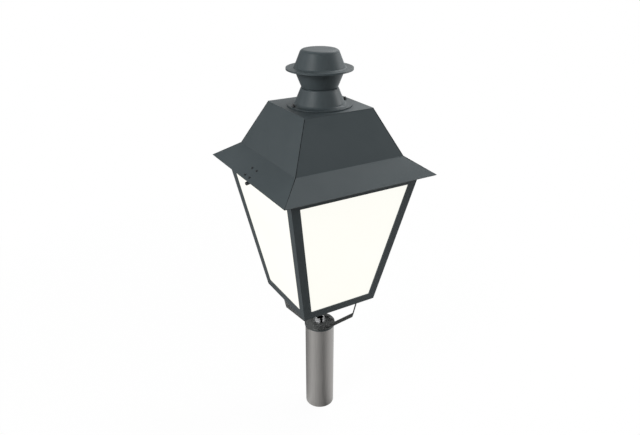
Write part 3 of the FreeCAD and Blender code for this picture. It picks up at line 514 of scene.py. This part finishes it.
# %% Which vertices belong together
def join_vertices(mesh):
    """The vertices of each loose solid, joined where they share a place or a face."""
    parent = list(range(len(mesh.vertices)))

    def root(index):
        while parent[index] != index:
            parent[index] = parent[parent[index]]
            index = parent[index]
        return index

    places = {}
    for vertex in mesh.vertices:
        places.setdefault(tuple(round(x, 6) for x in vertex.co), []).append(vertex.index)
    for joined in [*places.values(), *(list(polygon.vertices) for polygon in mesh.polygons)]:
        for index in joined[1:]:
            parent[root(index)] = root(joined[0])
    groups = {}
    for vertex in mesh.vertices:
        groups.setdefault(root(vertex.index), []).append(vertex.co)
    return list(groups.values())


# %% The middle of each bolt and screw
def solid_centres(node):
    groups = join_vertices(nodes[node].data)
    return [(Vector(map(min, *group)) + Vector(map(max, *group))) / 2 for group in groups]


hub_bolts = solid_centres("hub_bolts")
latch_screws = solid_centres("latch_screws")
print(len(hub_bolts), "hub bolts,", len(latch_screws), "latch screws")

# %% [markdown]
# ## Washers under the hub bolts
#
# Each bolt of the hub clamps the spider over a plain washer. It could be a CAD piece, but it is only trim
# here. It is a thin disc, so a prism with many sides does, laid on the disc that carries the lock nut too.

# %% Hub washers
WASHER_RADIUS, WASHER_THICKNESS = 6.3 * MM, 0.8 * MM
UPRIGHT = (0, 0, 0)
washer_spots = [(co.x, co.y, disc_top + WASHER_THICKNESS / 2) for co in hub_bolts]
grow("hub_washers", PRISMS, washer_spots, [], "lantern_base", "dull_steel",
     Radius=WASHER_RADIUS, Thickness=WASHER_THICKNESS, Sides=24, Turn=UPRIGHT, Material=dull_steel)

# %% [markdown]
# ## Sockets in the latch screws
#
# The latch bracket hangs from four screws through the flare of the roof, each with a hexagon socket. It could
# be cut into the head, but it is only a small hexagon of shade from any distance, so a thin dark prism on the
# head paints that shade. It is tilted as the flare is, and lifted along the flare's normal to the top of the
# head.

# %% Latch screw sockets
THIN = 0.1 * MM  # the thickness of trim that lies flat on a face
SOCKET_RADIUS = 1.2 * MM
SOCKET_RISE = 1.62 * MM  # of the socket's middle, above the outer face of the flare
(eave_half, eave_z), (kink_half, kink_z), _ = profile
flare_tilt = math.atan2(kink_z - eave_z, eave_half - kink_half)
flare_normal = Vector((-math.sin(flare_tilt), 0, math.cos(flare_tilt)))
eave_edge = Vector((-eave_half, 0, eave_z))
lift = [flare_normal * (SOCKET_RISE - (co - eave_edge).dot(flare_normal)) for co in latch_screws]
socket_spots = [tuple(co + up) for co, up in zip(latch_screws, lift)]
# Dark hexagons: painted shade of the sockets.
grow("latch_screw_sockets", PRISMS, socket_spots, [], "roof", "seal",
     Radius=SOCKET_RADIUS, Thickness=THIN, Sides=6, Turn=(0, -flare_tilt, 0), Material=seam_shadow)

# %% [markdown]
# ## Painted dark reflection down the nipple
#
# A dark line runs down the front of the plated tube, from its open rim to the lock nut. It is a painted
# reflection of the darker side of the room: a dark strip bent into the tube's wall, with no slot cut in the
# tube. An arc is the path, and an upright rectangle is swept along it.

# %% Strip recipe
def build_dark_strip():
    tree, given, out = start_recipe("strip_round_tube", Middle="Vector", Radius="Float", Start="Float",
                                    Sweep="Float", Height="Float", Thickness="Float", Steps="Int")
    arc = add(tree, "GeometryNodeCurveArc",
              {"Resolution": given["Steps"], "Radius": given["Radius"], "Start Angle": given["Start"],
               "Sweep Angle": given["Sweep"]})
    seat = add(tree, "GeometryNodeTransform", {"Geometry": arc.outputs[0], "Translation": given["Middle"]})
    section = add(tree, "GeometryNodeCurvePrimitiveQuadrilateral",
                  {"Width": given["Thickness"], "Height": given["Height"]})
    return close_recipe(tree, out, sweep(tree, seat, section), given)


DARK_STRIP = build_dark_strip()

# %% Nipple's painted reflection
# Painted reflection: where the dark strip sits on the tube, and how far it stands out.
REFLECTION_START, REFLECTION_SWEEP = math.radians(-115), math.radians(30)
REFLECTION_PROUD, REFLECTION_LIFT = 0.3 * MM, 0.1 * MM  # past the thread and above the rim
reflection_outside = tube_top.x + REFLECTION_PROUD
reflection_height = tube_top.z + REFLECTION_LIFT - nut_top
grow("nipple_painted_reflection", DARK_STRIP, AT_ORIGIN, [], "lantern_base", "seal",
     Middle=(0, 0, nut_top + reflection_height / 2), Radius=(reflection_outside + BORE_REACH) / 2,
     Start=REFLECTION_START, Sweep=REFLECTION_SWEEP, Height=reflection_height, Thickness=reflection_outside - BORE_REACH,
     Steps=10, Material=seam_shadow)

# %% [markdown]
# ## Screws of the gear tray
#
# Inside the roof a row of flush screws holds the tray to the frame on each side. They show when the roof is
# open. Whole screws could be modelled, but only their heads are ever seen, and nothing may stand down into
# the gasket there, so thin discs under the frame are enough.

# %% Tray screws
TRAY_SCREW_RADIUS, TRAY_SCREW_EDGE = 2.5 * MM, 9 * MM
TRAY_SCREW_PLACES = [place * MM for place in (-120, -40, 40, 120)]
ring_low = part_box("roof_frame_front")[0]
tray_reach = -ring_low.y - TRAY_SCREW_EDGE
tray_level = ring_low.z - THIN / 2
sides = [(along, side * tray_reach) for along in TRAY_SCREW_PLACES for side in (-1, 1)]
tray_spots = [(x, y, tray_level) for x, y in sides] + [(x, y, tray_level) for y, x in sides]
grow("tray_screws", PRISMS, tray_spots, [], "roof", "plated_steel",
     Radius=TRAY_SCREW_RADIUS, Thickness=THIN, Sides=16, Turn=UPRIGHT, Material=bright_plate)

# %% [markdown]
# ## A soft room
#
# The photograph has a plain white ground and soft light, so the world is white to the camera. What the coat
# and the post mirror is a room whose walls are lighter on some sides than on others, as a studio's screens
# make them: that gives the post its bands. A picture of a room could light the scene, but a list of levels
# that goes once around the lantern is easier to read and to change. Only little of the room's light falls on
# the lantern itself, and the lamps do the rest.

# %% Which rays see white
WHITE = (1, 1, 1, 1)


def shows_ground(tree):
    """1 for rays that show the background itself: from the camera, off gloss or through glass."""
    path = add(tree, "ShaderNodeLightPath").outputs
    gloss = add(tree, "ShaderNodeMath", {0: path["Is Camera Ray"], 1: path["Is Glossy Ray"]},
                operation="MAXIMUM")
    return add(tree, "ShaderNodeMath", {0: gloss.outputs[0], 1: path["Is Transmission Ray"]},
               operation="MAXIMUM").outputs[0]


def white_to_camera(tree, level):
    seen = add(tree, "ShaderNodeLightPath").outputs["Is Camera Ray"]
    return mix_colours(tree, seen, level, WHITE)


# %% Levels once around
def grey(level):
    return (level, level, level, 1)


def around(tree, place, levels):
    """A level that runs through the list once around, from the left by the front and the right."""
    turn = add(tree, "ShaderNodeTexGradient", {"Vector": place}, gradient_type="RADIAL")
    ramp = add(tree, "ShaderNodeValToRGB", {"Fac": turn.outputs["Fac"]})
    stops = ramp.color_ramp.elements
    for index in range(1, len(levels)):
        stops.new(index / len(levels))
    for stop, level in zip(stops, levels + levels[:1]):
        stop.color = grey(level)
    return ramp.outputs["Color"]


# %% World
WALLS = [1.0, 1.0, 0.3, 0.5, 1.0, 1.0, 0.3, 0.3]
CEILING = 0.3
ROOM_CAST = 0.05  # the share of the room's light that falls on the lantern
WALL_TOP, CEILING_START = 0.45, 0.75  # of the height of a heading, from 0 at eye level to 1 overhead


def make_world():
    world = bpy.data.worlds.new("studio")
    bpy.context.scene.world = world
    world.use_nodes = True
    tree = world.node_tree
    tree.nodes.clear()
    heading = add(tree, "ShaderNodeTexCoord").outputs["Generated"]
    height = add(tree, "ShaderNodeSeparateXYZ", {"Vector": heading}).outputs["Z"]
    upward = add(tree, "ShaderNodeMapRange",
                 {"Value": height, "From Min": WALL_TOP, "From Max": CEILING_START}).outputs["Result"]
    room = mix_colours(tree, upward, around(tree, heading, WALLS), grey(CEILING))
    shown = add(tree, "ShaderNodeBackground", {"Color": white_to_camera(tree, room), "Strength": 1.0})
    cast = add(tree, "ShaderNodeBackground", {"Color": WHITE, "Strength": ROOM_CAST})
    mixed = add(tree, "ShaderNodeMixShader",
                {0: shows_ground(tree), 1: cast.outputs[0], 2: shown.outputs[0]})
    add(tree, "ShaderNodeOutputWorld", {"Surface": mixed.outputs[0]})
    print("room walls", WALLS, "ceiling", CEILING)


make_world()

# %% [markdown]
# ## A pale floor
#
# The lantern stands on a matt, pale floor. A painted floor alone would show a horizon, and plain white alone
# would lose the lantern's shadow. So near the lantern a small share of the floor is lit by the lamps, which
# keeps a faint shadow there, and away from it the floor fades into plain white. In reflections it has levels
# around the lantern, as the walls have.

# %% Floor paint
FLOOR_SHINE = [1.0, 0.62, 0.21, 0.87, 1.0, 1.0, 0.2, 0.45]
NEAR, FAR = 0.5, 1.8  # distances over which the floor fades into white
NEAR_WHITE = 0.965
SEEN_PAINT, CAST_PAINT = grey(0.9), grey(0.3)  # to the camera, and for the light that it throws back


def paint_floor():
    paint = bpy.data.materials.new("pale_floor")
    paint.use_nodes = True
    tree = paint.node_tree
    tree.nodes.clear()
    seen = add(tree, "ShaderNodeLightPath").outputs["Is Camera Ray"]
    matt = add(tree, "ShaderNodeBsdfDiffuse", {"Color": mix_colours(tree, seen, CAST_PAINT, SEEN_PAINT)})
    place = add(tree, "ShaderNodeTexCoord").outputs["Object"]
    level = white_to_camera(tree, around(tree, place, FLOOR_SHINE))
    white = add(tree, "ShaderNodeEmission", {"Color": level, "Strength": 1.0})
    distance = add(tree, "ShaderNodeVectorMath", {0: place}, operation="LENGTH").outputs["Value"]
    fade = add(tree, "ShaderNodeMapRange", {"Value": distance, "From Min": NEAR, "From Max": FAR,
                                            "To Min": NEAR_WHITE, "To Max": 1.0}).outputs["Result"]
    share = add(tree, "ShaderNodeMath", {0: shows_ground(tree), 1: fade}, operation="MULTIPLY")
    mixed = add(tree, "ShaderNodeMixShader",
                {0: share.outputs[0], 1: matt.outputs[0], 2: white.outputs[0]})
    add(tree, "ShaderNodeOutputMaterial", {"Surface": mixed.outputs[0]})
    return paint


# %% Floor
FLOOR_HALF = 30.0


def make_floor():
    mesh = bpy.data.meshes.new("floor")
    mesh.from_pydata([(x * FLOOR_HALF, y * FLOOR_HALF, 0) for x, y in CORNERS], [], [(0, 1, 2, 3)])
    mesh.materials.append(paint_floor())
    floor = bpy.data.objects.new("floor", mesh)
    bpy.context.scene.collection.objects.link(floor)
    print("floor", 2 * FLOOR_HALF, "m wide")


make_floor()

# %% [markdown]
# ## Lamps
#
# Round softboxes light the lantern at a plain level, at which its coat renders about as its colour is
# written. A sun would be simpler, but its shadows are too hard for a studio. The key stands high behind on
# the right and lights the tops. Lower ones shape the left and the right side, and a weak one in front keeps
# the front of the roof from going flat.

# %% Lamps
LAMP_AIM = Vector((0, 0, 0.7))
LAMPS = {  # place in metres, width in metres and power in watts
    "back_key": ((1.3, 0.7, 2.7), 2.0, 49),
    "front_top": ((0.2, -1.9, 2.5), 1.2, 7),
    "left_top": ((-2.0, -0.65, 2.0), 1.0, 32),
    "left_side": ((-2.5, -0.4, 0.9), 1.0, 11),
    "left_back": ((-2.0, 1.4, 1.4), 1.0, 4),
    "right_side": ((2.5, -0.6, 1.0), 1.0, 39),
}


def softbox(name, place, width, power):
    lamp = bpy.data.lights.new(name, "AREA")
    lamp.shape = "DISK"
    lamp.size = width
    lamp.energy = power
    holder = bpy.data.objects.new(name, lamp)
    bpy.context.scene.collection.objects.link(holder)
    holder.location = place
    holder.rotation_euler = (LAMP_AIM - Vector(place)).to_track_quat("-Z", "Y").to_euler()
    holder.visible_camera = False


for name, (place, width, power) in LAMPS.items():
    softbox(name, place, width, power)
print("lamps", list(LAMPS))

# %% [markdown]
# ## Camera
#
# The photograph looks down on the lantern from the front left. A camera could be set by eye, but here the
# corners in the photograph were matched to the CAD model's, which gave the azimuth, the elevation, the
# distance and the focal length below, and a shift of a third of a pixel.

# %% Camera
AZIMUTH, ELEVATION, DISTANCE = math.radians(-30.26), math.radians(25.09), 1.5649
TARGET = Vector((0, 0, 0.60265))
FOCAL_LENGTH, SENSOR_WIDTH, SHIFT = 33.755, 36, 0.0005
away = Vector((math.sin(AZIMUTH) * math.cos(ELEVATION), -math.cos(AZIMUTH) * math.cos(ELEVATION),
               math.sin(ELEVATION)))
optics = bpy.data.cameras.new("camera")
optics.lens = FOCAL_LENGTH
optics.sensor_width = SENSOR_WIDTH
optics.shift_x = SHIFT
camera = bpy.data.objects.new("camera", optics)
bpy.context.scene.collection.objects.link(camera)
camera.location = TARGET + away * DISTANCE
camera.rotation_euler = (-away).to_track_quat("-Z", "Y").to_euler()
bpy.context.scene.camera = camera
bpy.context.scene.view_settings.view_transform = "Standard"
print("camera at", tuple(round(x, 3) for x in camera.location))
